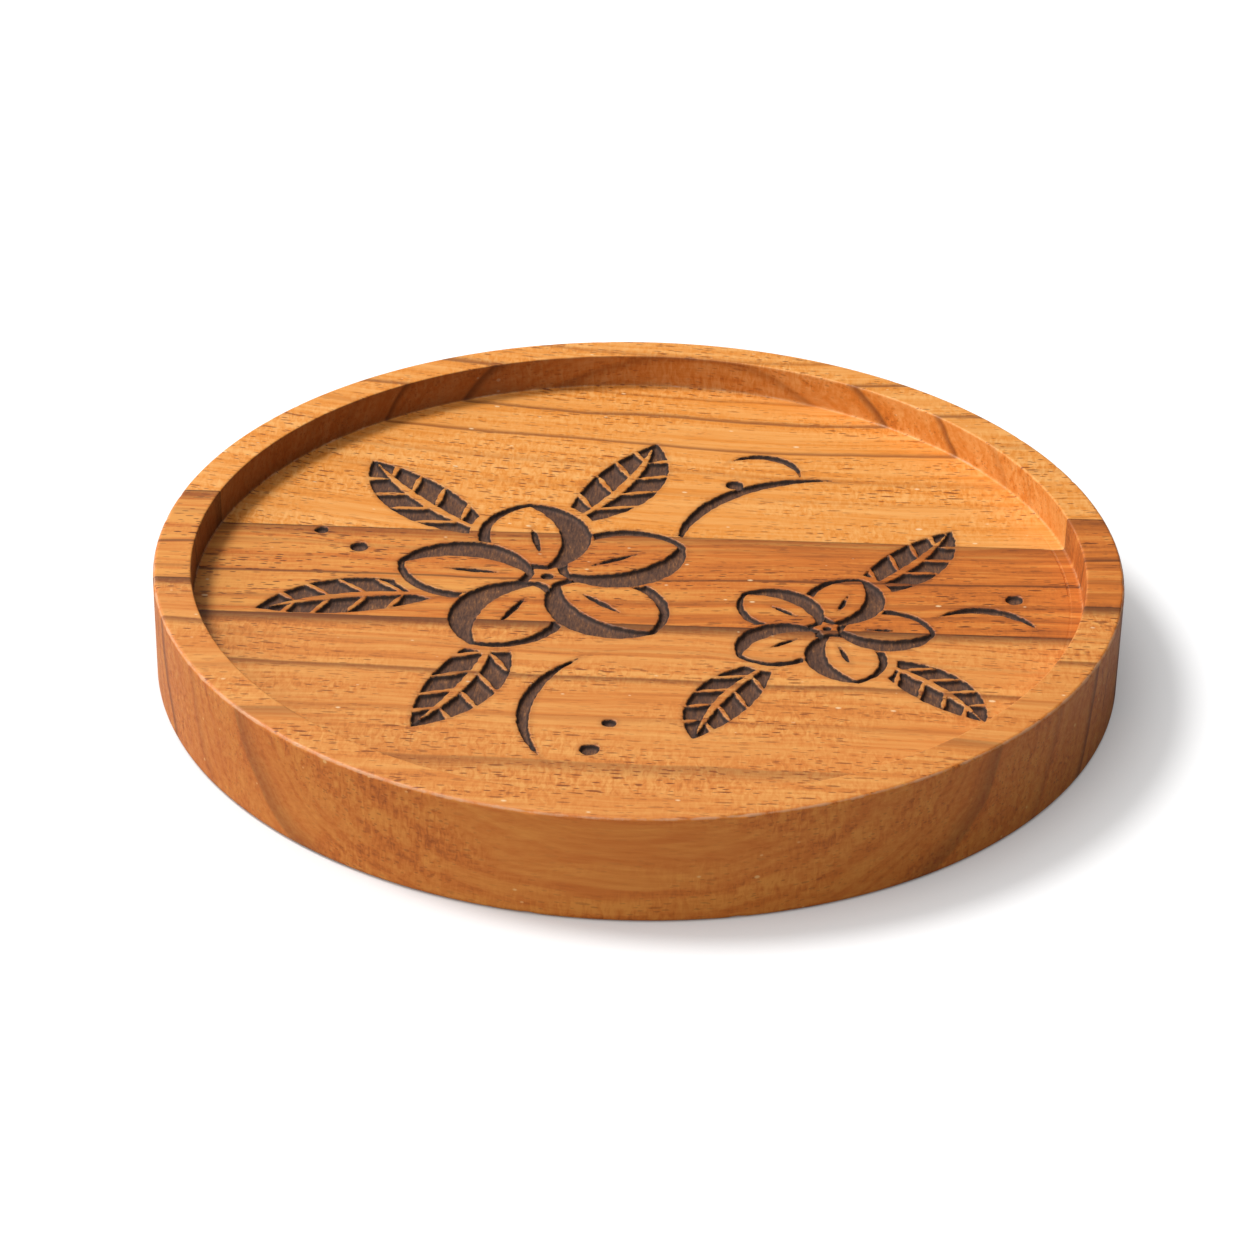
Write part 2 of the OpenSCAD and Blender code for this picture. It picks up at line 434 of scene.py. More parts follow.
# Points and edges of one contour of a field given on a square grid. Values closer to the level than nearest are
# moved away from it, so that no edge comes out too short
def contour(field, xs, ys, level, nearest=0.02):
    value = field - level
    value = np.where(np.abs(value) < nearest, np.where(value < 0, -nearest, nearest), value)
    rows, columns = value.shape
    inside = value < 0
    crossX = inside[:, :-1] != inside[:, 1:]
    crossY = inside[:-1, :] != inside[1:, :]
    numberX = np.full(crossX.shape, -1)
    numberX[crossX] = np.arange(crossX.sum())
    numberY = np.full(crossY.shape, -1)
    numberY[crossY] = crossX.sum() + np.arange(crossY.sum())
    jx, ix = np.nonzero(crossX)
    share = value[jx, ix] / (value[jx, ix] - value[jx, ix + 1])
    pointsX = np.c_[xs[ix] + share * (xs[ix + 1] - xs[ix]), ys[jx]]
    jy, iy = np.nonzero(crossY)
    share = value[jy, iy] / (value[jy, iy] - value[jy + 1, iy])
    pointsY = np.c_[xs[iy], ys[jy] + share * (ys[jy + 1] - ys[jy])]
    edges = []
    sides = np.stack([numberX[:-1], numberY[:, 1:], numberX[1:], numberY[:, :-1]], axis=-1)
    count = (sides >= 0).sum(-1)
    for j, i in zip(*np.nonzero(count == 2)):
        edges.append(tuple(sides[j, i][sides[j, i] >= 0]))
    for j, i in zip(*np.nonzero(count == 4)):
        bottom, right, top, left = sides[j, i]
        middle = value[j:j + 2, i:i + 2].mean() < 0
        if middle == inside[j, i]:
            edges += [(bottom, right), (top, left)]
        else:
            edges += [(bottom, left), (top, right)]
    return np.r_[pointsX, pointsY], edges


# Section of the turned disc from the edge of the flat floor to the underside: radius, height, the way out of
# the wood on an outer rounding, and how pale the place is drawn, partly as wear and partly as painted highlight
def turnedSection():
    b = board
    section = [(b["floorRadius"], b["floorZ"], (0, 0), 0.0)]

    def addArc(centreR, centreZ, radius, fromAngle, toAngle, steps, wearAndHighlight=0.0):
        for i in range(1, steps + 1):
            a = math.radians(fromAngle + (toAngle - fromAngle) * i / steps)
            out = (math.cos(a), math.sin(a))
            wornAndHighlight = wearAndHighlight * max(math.sin(math.pi * (i - 0.3) / steps), 0.0)
            hollow = toAngle > fromAngle
            section.append((centreR + radius * out[0], centreZ + radius * out[1], (0, 0) if hollow else out, wornAndHighlight))

    def addPoint(r, z):
        section.append((r, z, (0, 0), 0.0))

    top, wall, outer, near = b["height"], b["wallRadius"], b["radius"], b["support"]
    wallTop = top - b["innerBreak"]
    wallFoot = b["floorZ"] + b["footRadius"]
    # These wear values also set painted highlights: pale lines on the roundings, strongest on the outer top edge
    addArc(b["floorRadius"], wallFoot, b["footRadius"], -90, 0, 5, wearAndHighlight=0.75)
    addPoint(wall, wallFoot + near)
    addPoint(wall, wallTop - near)
    addPoint(wall, wallTop)
    addArc(wall + b["innerBreak"], wallTop, b["innerBreak"], 180, 90, 4, wearAndHighlight=0.6)
    addPoint(wall + b["innerBreak"] + near, top)
    addPoint(outer - b["topRound"] - near, top)
    addPoint(outer - b["topRound"], top)
    addArc(outer - b["topRound"], top - b["topRound"], b["topRound"], 90, 0, 8, wearAndHighlight=1.0)
    addPoint(outer, top - b["topRound"] - near)
    addPoint(outer, b["baseRound"] + near)
    addPoint(outer, b["baseRound"])
    addArc(outer - b["baseRound"], b["baseRound"], b["baseRound"], 0, -90, 6, wearAndHighlight=0.5)
    return section


# Each stave lies between two heights in y. Its turned faces are one or two arcs, each from one angle to another
staves = {
    "back_stave": (board["backJoint"], None),
    "middle_stave": (board["frontJoint"], board["backJoint"]),
    "front_stave": (None, board["frontJoint"]),
}


def arcAngles(lowY, highY, radius):
    low = -math.pi / 2 if lowY is None else math.asin(lowY / radius)
    high = math.pi / 2 if highY is None else math.asin(highY / radius)
    if highY is None:
        return [(low, math.pi - low)]
    if lowY is None:
        return [(math.pi - high, 2 * math.pi + high)]
    return [(low, high), (math.pi - high, math.pi - low)]


def arcPoints(span, radius, steps):
    angles = np.linspace(span[0], span[1], steps + 1)
    return np.c_[radius * np.cos(angles), radius * np.sin(angles)]


def arcSteps(span):
    return max(8, round((span[1] - span[0]) * board["radius"] / board["stepAlongRim"]))


# Points on a lattice of equal triangles that covers the floor
def lattice(step):
    reach = board["floorRadius"]
    rowStep = step * math.sqrt(3) / 2
    rows = np.arange(-reach, reach, rowStep)
    points = [
        (x + (step / 2 if j % 2 else 0), y) for j, y in enumerate(rows) for x in np.arange(-reach, reach, step)
    ]
    return np.array(points)


# The whole recess floor as one triangulated sheet, cut along the glue joints and round every stroke
def triangulateFloor():
    radius = board["floorRadius"]
    points, edges, rimNumbers = [], [], {}
    for name, (lowY, highY) in staves.items():
        rimNumbers[name] = []
        for span in arcAngles(lowY, highY, radius):
            ring = arcPoints(span, radius, arcSteps(span))
            start = len(points)
            points += list(ring)
            edges += [(start + i, start + i + 1) for i in range(len(ring) - 1)]
            rimNumbers[name].append(list(range(start, start + len(ring))))
    for jointY in (board["backJoint"], board["frontJoint"]):
        reach = math.sqrt(radius ** 2 - jointY ** 2)
        start = len(points)
        xs = np.linspace(-reach, reach, round(2 * reach))
        points += [np.array((x, jointY)) for x in xs]
        edges += [(start + i, start + i + 1) for i in range(len(xs) - 1)]
    for offset in (-1.0, -0.5, 0.0, 0.5, 1.0):
        ringRadius = radius - board["scoreRadius"] + offset * board["scoreWidth"]
        points += list(arcPoints((-math.pi, math.pi), ringRadius, board["scorePoints"])[:-1])
    grid = np.arange(-radius, radius + carving["gridStep"], carving["gridStep"])
    gridX, gridY = np.meshgrid(grid, grid)
    field = carvingDistance(np.stack([gridX, gridY], axis=-1))
    for level in carving["levels"]:
        start = len(points)
        linePoints, lineEdges = contour(field, grid, grid, level)
        if level > 0.1:
            lineEdges = []
        keep = np.linalg.norm(linePoints, axis=1) < radius - 0.3
        renumber = np.cumsum(keep) - 1 + start
        points += list(linePoints[keep])
        edges += [(int(renumber[a]), int(renumber[b])) for a, b in lineEdges if keep[a] and keep[b]]
    flat = lattice(carving["flatStep"])
    flat = flat[(np.linalg.norm(flat, axis=1) < radius - 0.5) & (carvingDistance(flat) > 0.95)]
    burnt = lattice(carving["burntStep"])
    burnt = burnt[carvingDistance(burnt) < -0.4]
    points += list(flat) + list(burnt)
    result = delaunay_2d_cdt([Vector(p) for p in points], edges, [], 0, samePlace, True)
    places = np.array([tuple(v) for v in result[0]])
    triangles = np.array(result[2])
    newNumber = {}
    for number, originals in enumerate(result[3]):
        for original in originals:
            newNumber[original] = number
    rims = {
        name: [[newNumber[i] for i in ring] for ring in rings] for name, rings in rimNumbers.items()
    }
    middles = places[triangles].mean(axis=1)
    keep = np.linalg.norm(middles, axis=1) < radius
    return places, triangles[keep], middles[keep], rims


def carvedHeights(places, distance):
    order = np.argsort(carving["levels"])
    levels = np.array(carving["levels"])[order]
    drops = np.array(carving["drop"])[order]
    depth = carving["depth"] * np.interp(distance, levels, drops)
    uneven = np.array([
        smoothNoise(Vector((x / 1.6, y / 0.7, 0.0))) + 0.5 * smoothNoise(Vector((x / 0.6, y / 0.4, 5.0)))
        for x, y in places
    ])
    rough = np.clip((-distance - 0.28) / 0.2, 0, 1) * carving["roughness"]
    # The router's score line runs beside the foot of the wall, deepest on the right
    fromScore = np.linalg.norm(places, axis=1) - (board["floorRadius"] - board["scoreRadius"])
    across = np.clip(1 - np.abs(fromScore) / board["scoreWidth"], 0, 1)
    startX, startY = board["scoreStart"]
    right = np.clip(places[:, 0] - startX, 0, 1)
    deepest = (places[:, 1] > startY) & (places[:, 1] < board["backJoint"])
    along = right * np.where(deepest, 1.0, board["scoreFaint"])
    score = board["scoreDepth"] * np.minimum(across * 2, 1) * along
    return board["floorZ"] - depth + uneven * rough - score


floorPlaces, floorTriangles, floorMiddles, floorRims = triangulateFloor()
floorDistance = carvingDistance(floorPlaces)
floorHeights = carvedHeights(floorPlaces, floorDistance)
print("recess floor:", len(floorPlaces), "points,", len(floorTriangles), "triangles")


# Points of one ring round a turned face, chipped where an outer rounding is worn. Both ends stay at the joint
def ringPoints(places, radius, height, out, wearAndHighlight):
    heights = np.full(len(places), height)
    if wearAndHighlight > 0 and out != (0, 0):
        uneven = waves(places, board["chipSeed"], *board["chipLengths"])
        chips = np.clip(uneven - board["chipRarity"], 0, 1) * board["chipDepth"] * wearAndHighlight
        chips[[0, -1]] = 0.0
        places = places * (1 - chips * out[0] / radius)[:, None]
        heights = height - chips * out[1]
    return [(x, y, z) for (x, y), z in zip(places, heights)]


# Outline of the glued face at a joint: along the floor, down the section at one end and up it at the other
def gluedOutline(places, floorCount, rings, jointY):
    def alongJoint(numbers):
        return sorted((i for i in numbers if abs(places[i][1] - jointY) < samePlace), key=lambda i: places[i][0])

    leftEnd, rightEnd = [], []
    for level in rings[1:]:
        tips = alongJoint([ring[0] for ring in level] + [ring[-1] for ring in level])
        leftEnd.append(tips[0])
        rightEnd.append(tips[-1])
    return alongJoint(range(floorCount)) + rightEnd + list(reversed(leftEnd))


notCarved = 9.0   # mm, the distance from the strokes given to every place off the floor


def makeStave(name):
    lowY, highY = staves[name]
    section = turnedSection()
    inside = np.ones(len(floorTriangles), bool)
    if lowY is not None:
        inside &= floorMiddles[:, 1] > lowY
    if highY is not None:
        inside &= floorMiddles[:, 1] < highY
    triangles = floorTriangles[inside]
    used = np.unique(triangles)
    local = {int(number): i for i, number in enumerate(used)}
    vertices = [(*floorPlaces[i], floorHeights[i]) for i in used]
    distances = [float(floorDistance[i]) for i in used]
    faces = [tuple(local[int(i)] for i in triangle) for triangle in triangles]
    flatFaces = [all(distances[i] > carving["flatFrom"] for i in face) for face in faces]
    wearAndHighlightValues = [0.0] * len(vertices)
    rings = [[[local[i] for i in ring] for ring in floorRims[name]]]
    for radius, height, out, wearAndHighlight in section[1:]:
        level = []
        for k, span in enumerate(arcAngles(lowY, highY, radius)):
            places = arcPoints(span, radius, len(rings[0][k]) - 1)
            level.append(list(range(len(vertices), len(vertices) + len(places))))
            vertices += ringPoints(places, radius, height, out, wearAndHighlight)
            distances += [notCarved] * len(places)
            wearAndHighlightValues += [wearAndHighlight] * len(places)
        rings.append(level)
    for lower, upper in zip(rings, rings[1:]):
        for ringA, ringB in zip(lower, upper):
            for i in range(len(ringA) - 1):
                faces.append((ringA[i], ringB[i], ringB[i + 1], ringA[i + 1]))
    underside = [number for ring in rings[-1] for number in ring]
    faces.append(tuple(reversed(underside)))
    for jointY in (lowY, highY):
        if jointY is not None:
            loop = gluedOutline(vertices, len(used), rings, jointY)
            faces.append(tuple(loop if jointY == highY else reversed(loop)))
    mesh = bpy.data.meshes.new(name + "Wood")
    mesh.from_pydata([tuple(c * mm for c in v) for v in vertices], [], faces)
    smooth = [not flat for flat in flatFaces] + [True] * (len(faces) - len(flatFaces))
    mesh.polygons.foreach_set("use_smooth", smooth)
    mesh.set_sharp_from_angle(angle=math.radians(board["sharpAngle"]))
    sharpFaces = mesh.attributes.get("sharp_face")
    if sharpFaces is None:
        sharpFaces = mesh.attributes.new("sharp_face", "BOOLEAN", "FACE")
    sharpFaces.data.foreach_set("value", [not s for s in smooth])
    # The pale edge values carry both rubbed wear and painted highlight to the shader
    for attributeName, values in (("carvingDistance", distances), ("edgeWearAndHighlight", wearAndHighlightValues)):
        mesh.attributes.new(attributeName, "FLOAT", "POINT").data.foreach_set("value", values)
    mesh.validate()
    piece = bpy.data.objects.new(name + "Wood", mesh)
    bpy.context.scene.collection.objects.link(piece)
    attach(piece, "root")
    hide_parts(name)
    print(name, "made:", len(mesh.vertices), "points,", len(mesh.polygons), "faces")
    return piece


# Oiled teak, planed and sanded: a warm orange brown with a low satin sheen, dark latewood lines and short pores.
# The grain runs along X and bends as y = slope * x + bend * x * x. Each line is a latewood ring: where it crosses
# the floor in y, how dark it is, and how many mm it takes to fade in
staveLooks = {
    # Cut near the sapwood: light gold with a few strong lines
    "back_stave": {
        "slot": "light_teak", "material": "oiledTeakSapwood", "seed": 3.0,
        "pale": "#f4b063", "middle": "#e58f37", "deep": "#b8621f", "line": "#7a3c17", "pore": "#8a4515",
        "slope": -0.086, "bend": 0.0018, "pith": (84.0, -22.0),
        "lines": [(31.4, 0.70, 0.8), (38.4, 0.75, 0.9), (25.3, 0.20, 1.4), (20.2, 0.12, 1.0), (43.6, 0.35, 0.8)],
        "fineLines": 0.10, "fibres": 0.75, "bands": 0.50, "ripple": 0.20, "drift": 0.0, "lift": -0.10,
        "joint": None,
    },
    # Heartwood: darker and redder, with close bands
    "middle_stave": {
        "slot": "dark_teak", "material": "oiledTeakHeartwood", "seed": 11.0,
        "pale": "#e69c4b", "middle": "#d0742a", "deep": "#8c4719", "line": "#4a2412", "pore": "#6b3311",
        "slope": 0.018, "bend": 0.0002, "pith": (-72.0, -6.0),
        "lines": [(1.2, 0.75, 0.45), (7.6, 0.20, 1.2), (4.2, 0.10, 0.7), (-3.4, 0.28, 0.9), (-5.9, 0.16, 0.5)],
        "fineLines": 0.13, "fibres": 1.00, "bands": 0.95, "ripple": 0.07, "drift": 0.0034, "lift": -0.07,
        "joint": {"y": "backJoint", "reach": 2.6, "strength": 0.45},
    },
    # Flat sawn: warm brown with wide soft lines
    "front_stave": {
        "slot": "warm_teak", "material": "oiledTeakFlatSawn", "seed": 23.0,
        "pale": "#eba558", "middle": "#d9843a", "deep": "#9d5320", "line": "#5e2e14", "pore": "#8a471a",
        "slope": -0.030, "bend": -0.0002, "pith": (-60.0, 18.0),
        "lines": [(-18.4, 0.60, 1.3), (-34.8, 0.40, 2.6), (-26.0, 0.16, 1.4), (-13.2, 0.12, 0.8)],
        "fineLines": 0.12, "fibres": 0.75, "bands": 0.55, "ripple": 0.20, "drift": 0.0, "lift": -0.10,
        "joint": {"y": "frontJoint", "reach": 2.2, "strength": 0.85},
    },
}


# What the three staves share. Sizes in mm are given along the grain first and then across it
grain = {
    "wander": (38, 16),        # how far apart the bends of the grain lie
    "wanderReach": 4.0,        # mm, its full range: it mostly strays by a quarter of it
    "lineEnd": 0.3,            # mm, how sharply a latewood line ends
    "fineRing": 1.3,           # mm between the fine rings
    "fibre": (11, 0.55),       # real fibres are hundredths of a mm wide, drawn as coarse as the render shows
    "band": (60, 4.0),         # wide soft streaks
    "patch": (20, 6),          # places where pores and flecks gather
    "ripple": (0.45, 1.3),     # short flecks
    "middleTone": 0.42,        # share of the deep colour before any of the patterns
    "pores": (((3.6, 0.66), 0.27), ((1.7, 0.42), 0.30)),   # sizes of a pore's cell, and how much the pore fills
    "poreOnWall": 0.42,        # how strong the pores are on the upright walls
    "speck": (2.6, 1.5),
    "glueWidth": (0.17, 0.05),   # mm from the joint where the glue starts to show and where it shows fully
}
# The oiled surface, what turning and handling have done to it, and painted highlight and shade
finish = {
    # The pale edge colour is partly rubbed wear and partly painted highlight
    "glue": "#3a1d0e", "speck": "#fbd9a9", "endGrain": "#7a3a16", "wornAndHighlight": "#e2ab80",
    "endGrainShare": 0.20,
    "outerWall": (1.0, 0.80, 0.50, 1.0),     # linear, multiplied with the wood
    # Painted shade for the recess wall, linear, multiplied with the wood
    "innerWallShade": (0.38, 0.32, 0.36, 1.0),
    "paintedWallShade": (26.0, -18.0),  # x where the painted shade of the recess wall starts and where it is full
    "wearScale": 0.45,         # pale edge patches per mm, partly wear and partly painted highlight
    "wearAndHighlightShare": 0.70,
    "gloss": (0.42, 0.54),     # roughness of the oiled wood, least and most
    "ior": 1.42,
    "reliefDepth": 0.06,       # mm
    "reliefStrength": 0.4,
}
# The burnt strokes: dull brown char, with painted shade near black along their steep edges
burn = {
    "scorch": "#7a3c14", "scorchShare": 0.30, "edge": "#22130c",
    "char": ((0.10, "#42291d"), (0.45, "#5a3b2b"), (0.72, "#70492f"), (0.98, "#9c693f")),
    "raggedScale": 2.2,        # per mm
    "ragged": 0.16,            # mm, how uneven the edge of the char is
    "scratch": (0.20, 1.1, 0.5),   # mm
    "scratchTurn": 28,         # degrees
    "roughness": 0.75,
}


# Scale of a pattern from the size of its cells in mm
def perSize(along, across):
    return (1 / along, 1 / across, 1 / across)


def makeTeak(look):
    material = bpy.data.materials.new(look["material"])
    material.use_nodes = True
    tree = material.node_tree
    shader = tree.nodes["Principled BSDF"]
    coordinates = addNode(tree, "TexCoord")
    inMm = addNode(tree, "VectorMath", {0: coordinates.outputs["Object"], "Scale": 1 / mm}, operation="SCALE")
    parts = addNode(tree, "SeparateXYZ", {0: inMm})
    rise = addNode(
        tree, "Math", {0: parts.outputs["X"], 1: look["bend"], 2: look["slope"]},
        operation="MULTIPLY_ADD",
    )
    lifted = addNode(tree, "Math", {0: rise, 1: parts.outputs["X"]}, operation="MULTIPLY")
    straightY = addNode(tree, "Math", {0: parts.outputs["Y"], 1: lifted}, operation="SUBTRACT")
    shiftedX = addNode(tree, "Math", {0: parts.outputs["X"], 1: look["seed"] * 37})
    straight = addNode(tree, "CombineXYZ", {"X": shiftedX, "Y": straightY, "Z": parts.outputs["Z"]})
    # The grain wanders by about a millimetre over a few centimetres
    wanderPlace = addNode(tree, "Mapping", {"Vector": straight, "Scale": perSize(*grain["wander"])})
    wander = addNode(tree, "TexNoise", {"Vector": wanderPlace, "Scale": 1.0, "Detail": 3.0})
    wanderShift = addNode(
        tree, "VectorMath", {0: wander.outputs["Color"], 1: (0.5, 0.5, 0.5)}, operation="SUBTRACT"
    )
    wandered = addNode(
        tree, "VectorMath",
        {
            0: wanderShift, 1: (0.0, grain["wanderReach"], grain["wanderReach"]),
            2: straight,
        },
        operation="MULTIPLY_ADD",
    )
    # Growth rings lie round a pith line that runs along the grain
    acrossGrain = addNode(tree, "VectorMath", {0: wandered, 1: (0, 1, 1)}, operation="MULTIPLY")
    ringRadius = addNode(tree, "VectorMath", {0: acrossGrain, 1: (0, *look["pith"])}, operation="DISTANCE")
    lineTone = None
    for lineY, strength, fade in look["lines"]:
        radius = math.hypot(lineY - look["pith"][0], board["floorZ"] - look["pith"][1])
        fadeIn = addNode(
            tree, "MapRange",
            {
                "Value": ringRadius.outputs["Value"], "From Min": radius - fade, "From Max": radius,
                "To Max": strength,
            },
            interpolation_type="SMOOTHSTEP",
        )
        fadeOut = addNode(tree, "MapRange", {
            "Value": ringRadius.outputs["Value"], "From Min": radius, "From Max": radius + grain["lineEnd"],
            "To Min": 1.0, "To Max": 0.0,
        })
        line = addNode(tree, "Math", {0: fadeIn, 1: fadeOut}, operation="MULTIPLY")
        if lineTone:
            line = addNode(tree, "Math", {0: lineTone, 1: line}, operation="MAXIMUM")
        lineTone = line
    # Fine darker rings between the strong ones
    fineRings = addNode(
        tree, "TexNoise",
        {"W": ringRadius.outputs["Value"], "Scale": 1 / grain["fineRing"], "Detail": 3.0, "Roughness": 0.6},
        noise_dimensions="1D",
    )
    fineTone = addNode(tree, "MapRange", {
        "Value": fineRings.outputs["Fac"], "From Min": 0.40, "From Max": 0.68, "To Max": look["fineLines"] * 1.6,
    })
    # Fibres: fine streaks that run a long way along the grain
    fibrePlace = addNode(tree, "Mapping", {"Vector": wandered, "Scale": perSize(*grain["fibre"])})
    fibre = addNode(tree, "TexNoise", {"Vector": fibrePlace, "Scale": 1.0, "Detail": 5.0, "Roughness": 0.65})
    bandPlace = addNode(tree, "Mapping", {"Vector": wandered, "Scale": perSize(*grain["band"])})
    band = addNode(tree, "TexNoise", {"Vector": bandPlace, "Scale": 1.0, "Detail": 4.0, "Roughness": 0.6})
    # Ripple: short pale flecks across the grain, in patches
    patchPlace = addNode(tree, "Mapping", {"Vector": straight, "Scale": perSize(*grain["patch"])})
    patch = addNode(tree, "TexNoise", {"Vector": patchPlace, "Scale": 1.0, "Detail": 2.0})
    patchy = addNode(tree, "MapRange", {"Value": patch.outputs["Fac"], "From Min": 0.36, "From Max": 0.60})
    ripplePlace = addNode(tree, "Mapping", {"Vector": straight, "Scale": perSize(*grain["ripple"])})
    rippleNoise = addNode(tree, "TexNoise", {"Vector": ripplePlace, "Scale": 1.0, "Detail": 2.0, "Distortion": 0.8})
    ripple = addNode(tree, "Math", {0: rippleNoise.outputs["Fac"], 1: -0.5})
    rippleTone = addNode(tree, "Math", {0: ripple, 1: patchy}, operation="MULTIPLY")
    # All these tones together choose between the pale and the deep wood
    tone = addNode(
        tree, "Math", {0: parts.outputs["X"], 1: look["drift"], 2: grain["middleTone"] + look["lift"]},
        operation="MULTIPLY_ADD",
    )
    for source, amount in (
        (fibre.outputs["Fac"], look["fibres"]), (band.outputs["Fac"], look["bands"]),
    ):
        centred = addNode(tree, "Math", {0: source, 1: -0.5})
        tone = addNode(tree, "Math", {0: centred, 1: amount, 2: tone}, operation="MULTIPLY_ADD")
    tone = addNode(tree, "Math", {0: rippleTone, 1: look["ripple"] * 5, 2: tone}, operation="MULTIPLY_ADD")
    tone = addNode(tree, "Math", {0: tone, 1: fineTone})
    wood = addNode(tree, "ValToRGB", {"Fac": tone})
    setStops(wood, [
        (0.15, linear(look["pale"])), (0.5, linear(look["middle"])), (0.95, linear(look["deep"])),
    ])
    lined = addNode(
        tree, "Mix",
        {"Factor": lineTone, "A": wood.outputs["Color"], "B": linear(look["line"])},
        data_type="RGBA",
    )
    woodColour = lined.outputs["Result"]
    # Some staves are darker along one glue line, more in one place than in another
    if look["joint"]:
        fromJoint = addNode(tree, "Math", {0: parts.outputs["Y"], 1: -board[look["joint"]["y"]]})
        ragged = addNode(tree, "Math", {0: band.outputs["Fac"], 1: 2.0, 2: fromJoint}, operation="MULTIPLY_ADD")
        jointShade = addNode(
            tree, "MapRange",
            {
                "Value": ragged, "From Min": 0.85 - look["joint"]["reach"], "From Max": 0.85,
                "To Max": look["joint"]["strength"],
            },
            interpolation_type="SMOOTHSTEP",
        )
        jointed = addNode(
            tree, "Mix",
            {"Factor": jointShade, "A": woodColour, "B": linear(look["line"])},
            data_type="RGBA",
        )
        woodColour = jointed.outputs["Result"]
    # The glue itself shows as a thin broken line
    glueLines = None
    for jointName in ("backJoint", "frontJoint"):
        offset = addNode(tree, "Math", {0: parts.outputs["Y"], 1: -board[jointName]})
        away = addNode(tree, "Math", {0: offset}, operation="ABSOLUTE")
        glue = addNode(tree, "MapRange", {
            "Value": away, "From Min": grain["glueWidth"][0], "From Max": grain["glueWidth"][1],
        })
        if glueLines:
            glue = addNode(tree, "Math", {0: glueLines, 1: glue}, operation="MAXIMUM")
        glueLines = glue
    glueBreaks = addNode(tree, "MapRange", {
        "Value": patch.outputs["Fac"], "From Min": 0.35, "From Max": 0.60, "To Min": 0.15, "To Max": 0.80,
    })
    glueTone = addNode(tree, "Math", {0: glueLines, 1: glueBreaks}, operation="MULTIPLY")
    glued = addNode(
        tree, "Mix", {"Factor": glueTone, "A": woodColour, "B": linear(finish["glue"])},
        data_type="RGBA",
    )
    woodColour = glued.outputs["Result"]
    # Pores: dark dashes 1 to 2 mm long, dots on the end grain
    poreMask = None
    for cellSize, widest in grain["pores"]:
        porePlace = addNode(tree, "Mapping", {"Vector": wandered, "Scale": perSize(*cellSize)})
        cells = addNode(tree, "TexVoronoi", {"Vector": porePlace, "Scale": 1.0})
        size = addNode(
            tree, "Math", {0: cells.outputs["Color"], 1: 0.16, 2: cells.outputs["Distance"]},
            operation="MULTIPLY_ADD",
        )
        mask = addNode(tree, "MapRange", {"Value": size, "From Min": widest + 0.03, "From Max": widest - 0.06})
        if poreMask:
            mask = addNode(tree, "Math", {0: poreMask, 1: mask}, operation="MAXIMUM")
        poreMask = mask
    poreStrength = addNode(
        tree, "MapRange",
        {"Value": patch.outputs["Fac"], "From Min": 0.36, "From Max": 0.60, "To Min": 0.18, "To Max": 0.92},
    )
    strongPores = addNode(tree, "Math", {0: poreMask, 1: poreStrength}, operation="MULTIPLY")
    # They are filled with oil where the wood is turned or routed, so they show less on the upright walls
    normalParts = addNode(tree, "SeparateXYZ", {0: coordinates.outputs["Normal"]})
    upright = addNode(tree, "MapRange", {
        "Value": normalParts.outputs["Z"], "From Min": 0.2, "From Max": 0.8, "To Min": grain["poreOnWall"],
    })
    pores = addNode(tree, "Math", {0: strongPores, 1: upright}, operation="MULTIPLY")
    pored = addNode(tree, "Mix", {"Factor": pores, "A": woodColour, "B": linear(look["pore"])}, data_type="RGBA")
    # A few pores hold pale mineral specks
    speckPlace = addNode(tree, "Mapping", {"Vector": straight, "Scale": perSize(*grain["speck"])})
    speckCells = addNode(tree, "TexVoronoi", {"Vector": speckPlace, "Scale": 1.0})
    speckSize = addNode(
        tree, "Math", {0: speckCells.outputs["Color"], 1: 0.35, 2: speckCells.outputs["Distance"]},
        operation="MULTIPLY_ADD",
    )
    specks = addNode(tree, "MapRange", {"Value": speckSize, "From Min": 0.19, "From Max": 0.13, "To Max": 0.75})
    specked = addNode(
        tree, "Mix", {"Factor": specks, "A": pored.outputs["Result"], "B": linear(finish["speck"])},
        data_type="RGBA",
    )
    # End grain drinks more oil, so it is darker and redder
    endGrain = addNode(tree, "Math", {0: normalParts.outputs["X"], 1: 2.0}, operation="POWER")
    endTone = addNode(tree, "Math", {0: endGrain, 1: finish["endGrainShare"]}, operation="MULTIPLY")
    endWood = addNode(
        tree, "Mix",
        {"Factor": endTone, "A": specked.outputs["Result"], "B": linear(finish["endGrain"])},
        data_type="RGBA",
    )
    # The turned outer wall is drawn a deeper orange, and painted shade darkens the recess wall on the left
    outward = addNode(tree, "VectorMath", {0: coordinates.outputs["Normal"], 1: inMm}, operation="DOT_PRODUCT")
    outerWall = addNode(tree, "MapRange", {"Value": outward.outputs["Value"], "From Min": 15.0, "From Max": 45.0})
    deepened = addNode(
        tree, "Mix",
        {"Factor": outerWall, "A": endWood.outputs["Result"], "B": finish["outerWall"]},
        data_type="RGBA", blend_type="MULTIPLY",
    )
    innerWallShade = addNode(tree, "MapRange", {"Value": outward.outputs["Value"], "From Min": -15.0, "From Max": -35.0})
    leftSide = addNode(tree, "MapRange", {
        "Value": parts.outputs["X"], "From Min": finish["paintedWallShade"][0], "From Max": finish["paintedWallShade"][1],
    })
    # Painted shade: where the recess wall is darkened
    wallShadeMask = addNode(tree, "Math", {0: innerWallShade, 1: leftSide}, operation="MULTIPLY")
    paintedWallShade = addNode(
        tree, "Mix",
        {"Factor": wallShadeMask, "A": deepened.outputs["Result"], "B": finish["innerWallShade"]},
        data_type="RGBA", blend_type="MULTIPLY",
    )
